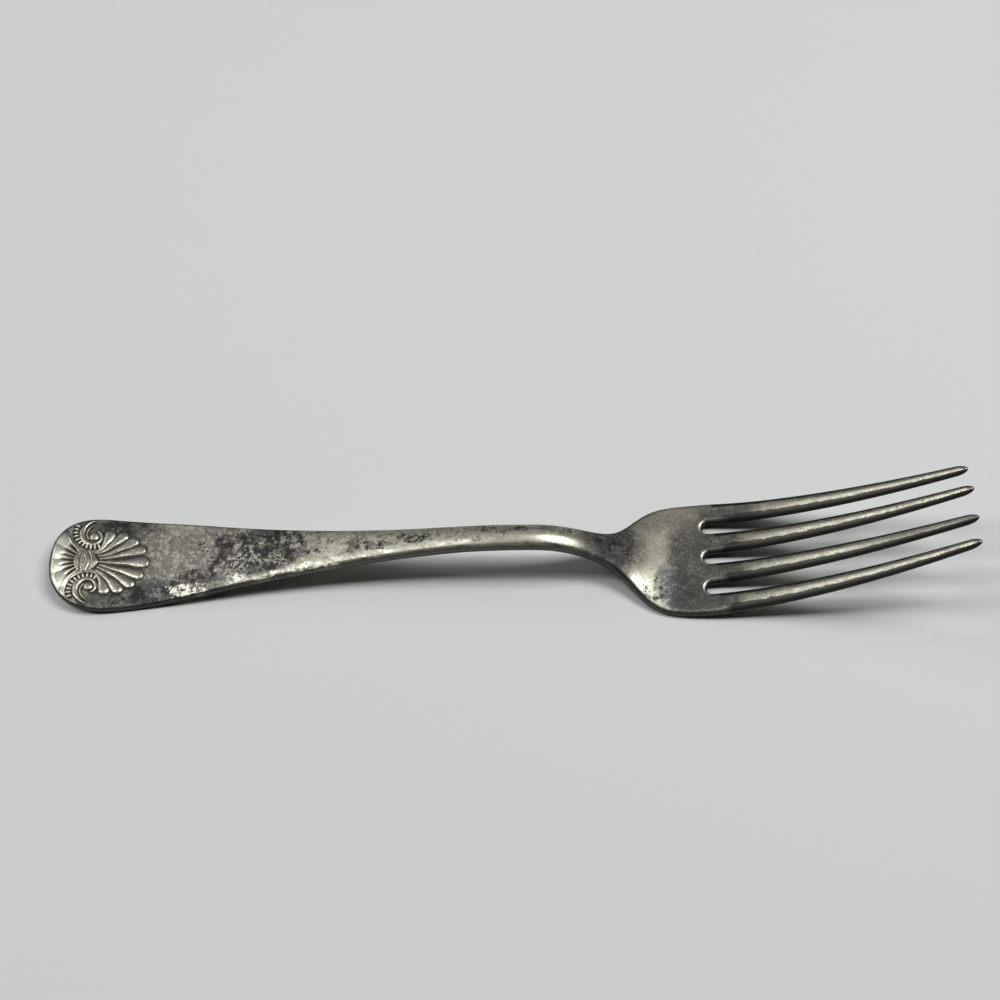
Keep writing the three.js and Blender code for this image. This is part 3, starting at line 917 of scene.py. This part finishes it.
def worn_silver():
    patch = make_ragged_patch()
    grains = make_tarnish_grains()
    scratches = make_hairline_scratches()
    silver = Finish("worn_silver_plate", CLEAN_SILVER, roughness=0.24)
    tree, position = silver.tree, silver.position

    def patched(middle, reach, softness, raggedness, grain):
        return silver.apply(patch, Middle=(*middle, 0), Reach=(*reach, FLAT), Softness=softness,
                            Raggedness=raggedness, Grain=grain)

    def spread(patches, softness, raggedness, grain):
        return silver.greatest(*[patched(*place, softness, raggedness, grain) for place in patches])

    # Clean and dull silver, and the films over it
    raised = silver.attribute("raised")
    from_edge = silver.attribute("from_edge")
    polished = spread(POLISHED_PATCHES, softness=0.3, raggedness=1.2, grain=0.5)
    dulled = computed(tree, "MULTIPLY_ADD", polished, -0.75, 0.95)
    clouds = eased_range(tree, noise(tree, position, 0.4, 9.0, 0.72), 0.36, 0.54)
    dull_clouds = computed(tree, "MULTIPLY", clouds, dulled)
    silver.cover(dull_clouds, DULL_SILVER, roughness=0.44, metallic=0.65)
    plum = spread(PLUM_PATCHES, softness=0.45, raggedness=2.6, grain=0.35)
    silver.cover(plum, PLUM_TARNISH, roughness=0.42, metallic=0.65, share=0.9)
    brown = spread(BROWN_PATCHES, softness=0.45, raggedness=3.0, grain=0.35)
    silver.cover(brown, BROWN_TARNISH, roughness=0.45, metallic=0.6, share=0.85)
    film = spread(FILM_PATCHES, softness=0.45, raggedness=2.2, grain=0.3)
    silver.cover(film, GREY_FILM, roughness=0.42, metallic=0.65, share=0.8)
    deep = spread(DEEP_PATCHES, softness=0.45, raggedness=1.5, grain=0.35)
    silver.cover(deep, DEEP_FILM, roughness=0.38, metallic=0.65, share=0.93)
    # Painted shade: inside the film patches the edges are darker still
    film_rim_shade = computed(tree, "MULTIPLY", film, eased_range(tree, from_edge, 0.6, 0.2))
    silver.cover(film_rim_shade, DARK_TARNISH_AND_SHADE, roughness=0.55, metallic=0.7)
    blue = spread(BLUE_PATCHES, softness=0.5, raggedness=1.2, grain=0.3)
    silver.cover(blue, BLUE_FILM, roughness=0.3, metallic=0.8, share=0.8)
    silver.cover(raised, CLEAN_SILVER, roughness=0.27, share=0.8)

    # The rubbed rim of the handle, and the mottle of its flat
    rim_stretch = patched(*HANDLE_RIM, softness=0.25, raggedness=0.6, grain=0.3)
    bright_rim = computed(tree, "MULTIPLY", rim_stretch, eased_range(tree, from_edge, 2.2, 1.0))
    bright_rim = computed(tree, "MULTIPLY", bright_rim, silver.apply(grains, Cover=0.5, Grain=0.6))
    silver.cover(bright_rim, CLEAN_SILVER, roughness=0.32, share=0.7)
    handle_flat = patched(*HANDLE_FLAT, softness=0.2, raggedness=0.4, grain=0.3)
    dark_mottle = computed(tree, "MULTIPLY_ADD", handle_flat, 0.28, 0.14)
    dark_mottle = computed(tree, "MULTIPLY", silver.apply(grains, Cover=0.42, Grain=0.6), dark_mottle)
    silver.cover(dark_mottle, DARK_TARNISH_AND_SHADE, roughness=0.5, metallic=0.6)
    pale_mottle = computed(tree, "MULTIPLY_ADD", handle_flat, 0.16, 0.05)
    pale_mottle = silver.spared(pale_mottle, deep, 0.85)
    pale_mottle = computed(tree, "MULTIPLY", silver.apply(grains, Cover=0.42, Grain=0.85), pale_mottle)
    silver.cover(pale_mottle, RUBBED_SILVER_AND_HIGHLIGHT, roughness=0.4, metallic=0.6)
    dark_specks = silver.apply(grains, Cover=0.36, Grain=2.2)
    silver.cover(dark_specks, DARK_TARNISH_AND_SHADE, roughness=0.5, metallic=0.6, share=0.45)
    pale_specks = silver.apply(grains, Cover=0.34, Grain=1.7)
    silver.cover(pale_specks, RUBBED_SILVER_AND_HIGHLIGHT, roughness=0.4, metallic=0.6, share=0.1)

    # Clots of tarnish, with pale flecks among them
    cover = silver.greatest(*[
        silver.scaled(patched(middle, reach, softness=0.5, raggedness=2.4, grain=0.4), share)
        for middle, reach, share in GRAIN_PATCHES
    ])
    cover = silver.spared(cover, raised, 0.7)
    stray = silver.scaled(dulled, 0.11)
    clots = silver.apply(grains, Cover=computed(tree, "ADD", cover, stray), Grain=0.4)
    silver.cover(clots, DARK_TARNISH_AND_SHADE, roughness=0.5, metallic=0.65, share=0.8)
    black = silver.apply(grains, Cover=cover, Grain=0.62)
    silver.cover(black, BLACK_TARNISH_AND_SHADE, roughness=0.5, metallic=0.65, share=0.92)
    clumps = eased_range(tree, noise(tree, position, 0.3, 4.0), 0.42, 0.6)
    among = computed(tree, "MINIMUM", silver.scaled(cover, 2.0), 0.9)
    among = silver.spared(computed(tree, "MULTIPLY", among, clumps), deep, 0.65)
    flecks = computed(tree, "MULTIPLY", silver.apply(grains, Cover=0.46, Grain=1.3), among)
    silver.cover(flecks, FLECK_SILVER, roughness=0.45, metallic=0.4)

    # Places rubbed or scratched bright, and painted highlights along the handle's near edge and on its end
    # Rubbed plating along the handle's near edge, painted pale as a highlight too
    rubbed_and_highlight = spread(RUBBED_AND_HIGHLIGHT_PATCHES, softness=0.2, raggedness=3.4, grain=0.7)
    rubbed_and_highlight = computed(tree, "MULTIPLY", rubbed_and_highlight, silver.apply(grains, Cover=0.54, Grain=0.83))
    silver.cover(rubbed_and_highlight, RUBBED_SILVER_AND_HIGHLIGHT, roughness=0.5, metallic=0.3)
    # A painted highlight on the end of the handle
    cream_highlight = patched(*CREAM_HIGHLIGHT_PATCH, softness=0.4, raggedness=1.2, grain=0.5)
    silver.cover(cream_highlight, RUBBED_SILVER_AND_HIGHLIGHT, roughness=0.42, metallic=0.6, share=0.55)
    silver.cover(silver.apply(scratches, Turn=0.35, Amount=0.4), RUBBED_SILVER_AND_HIGHLIGHT, roughness=0.35)
    silver.cover(silver.apply(scratches, Turn=-0.7, Amount=0.35), RUBBED_SILVER_AND_HIGHLIGHT, roughness=0.35)
    silver.cover(silver.attribute("slot_rim"), RUBBED_SILVER_AND_HIGHLIGHT, roughness=0.3, share=0.8)

    # Painted shade and black tarnish in the shell's hollows, beads painted pale as rubbed silver and
    # painted highlight, and painted shade on the tines' sides and the edges
    # Black tarnish in the shell's hollows, deepened as painted shade
    silver.cover(silver.attribute("hollow"), BLACK_TARNISH_AND_SHADE, roughness=0.55, metallic=0.6, share=0.92)
    # The beads painted pale, as rubbed silver and as a painted highlight
    silver.cover(silver.attribute("bead"), RUBBED_SILVER_AND_HIGHLIGHT, roughness=0.45, metallic=0.4, share=0.9)
    # Painted shade over the near half and the far edge of each tine
    ragged = computed(tree, "SUBTRACT", noise(tree, position, 0.5, 7.0, 0.68), 0.5)
    tine_shade = computed(tree, "MULTIPLY_ADD", ragged, 1.5, silver.attribute("tine_shade"))
    tine_shade = eased_range(tree, tine_shade, 0.38, 0.68)
    silver.cover(tine_shade, BLACK_TARNISH_AND_SHADE, roughness=0.45, metallic=0.8, share=0.93)
    # Painted shade along the edges of the blank
    wall_shade = silver.spared(eased_range(tree, from_edge, 0.45, 0.12), tine_shade, 0.9)
    silver.cover(wall_shade, DARK_TARNISH_AND_SHADE, roughness=0.4, share=0.85)

    silver.bump(noise(tree, position, 0.12, 2.0), BROAD_DENTS)
    silver.bump(noise(tree, position, 1.6, 5.0, 0.65), FINE_PITS)
    return silver.finished()


def make_fork():
    pieces = [
        make_handle_end(),
        make_stretch("handle_blade", END_CUT, BLADE_CUT, 1.0),
        make_stretch("stem", BLADE_CUT, STEM_CUT, 0.8),
        make_stretch("neck", STEM_CUT, NECK_CUT, 0.5),
        make_palm(),
    ]
    pieces += [make_tine(number) for number in range(4)]
    silver = worn_silver()
    for piece in pieces:
        piece.data.materials.append(silver)


# Floor, light and camera
FLOOR_SIZE = 4
FLOOR_COLOR = (0.588, 0.598, 0.598, 1)
WORLD_LEVEL = 0.012
LENS_LENGTH = 59.47
SENSOR_WIDTH = 36
CAMERA_PLACE = (-0.001593, -0.164166, 0.311696)
CAMERA_PITCH = math.radians(30.012)
CAMERA_TURN = math.radians(-0.469)


def make_floor():
    bpy.ops.mesh.primitive_plane_add(size=FLOOR_SIZE)
    floor = bpy.context.object
    floor.name = "pale_floor"
    material = bpy.data.materials.new("pale_floor")
    material.use_nodes = True
    shader = material.node_tree.nodes["Principled BSDF"]
    shader.inputs["Base Color"].default_value = FLOOR_COLOR
    shader.inputs["Roughness"].default_value = 0.9
    floor.data.materials.append(material)


def make_softbox(name, place, width, height, radiance):
    """A soft panel facing the fork, its width along the fork."""
    light = bpy.data.lights.new(name, "AREA")
    light.shape = "RECTANGLE"
    light.size = width
    light.size_y = height
    light.energy = radiance * math.pi * width * height
    lamp = bpy.data.objects.new(name, light)
    bpy.context.scene.collection.objects.link(lamp)
    along, across, up = place
    lean = -math.atan2(across, up)
    turn = math.atan2(along, math.hypot(across, up))
    lamp.location = place
    lamp.rotation_euler = (lean, turn, 0)
    lamp.visible_camera = False


def make_world(level):
    world = bpy.data.worlds.new("soft_room")
    world.use_nodes = True
    background = world.node_tree.nodes["Background"]
    background.inputs["Color"].default_value = (1, 1, 1, 1)
    background.inputs["Strength"].default_value = level
    bpy.context.scene.world = world


def make_camera():
    lens = bpy.data.cameras.new("photo_view")
    lens.lens = LENS_LENGTH
    lens.sensor_width = SENSOR_WIDTH
    lens.clip_start = 0.01
    camera = bpy.data.objects.new("photo_view", lens)
    camera.location = CAMERA_PLACE
    camera.rotation_euler = (CAMERA_PITCH, 0, CAMERA_TURN)
    bpy.context.scene.collection.objects.link(camera)
    bpy.context.scene.camera = camera


make_fork()
make_floor()
make_world(WORLD_LEVEL)
make_softbox("right_softbox", (0.52, 0.16, 1.0), 0.7, 0.3, 14.0)
make_softbox("left_softbox", (-0.58, 0.03, 1.0), 0.8, 0.2, 9.5)
make_softbox("far_left_softbox", (-1.75, 0.12, 1.0), 0.7, 0.3, 5.5)
make_softbox("back_left_panel", (-0.95, 0.82, 1.0), 0.85, 0.55, 1.3)
make_softbox("back_left_strip", (-0.78, 0.54, 1.0), 0.7, 0.1, 5.0)
make_softbox("back_fill", (0.3, 0.75, 1.0), 1.4, 0.6, 0.12)
make_softbox("back_wall", (0.0, 1.9, 0.8), 2.4, 1.0, 0.1)
make_camera()
bpy.context.scene.view_settings.view_transform = "Standard"
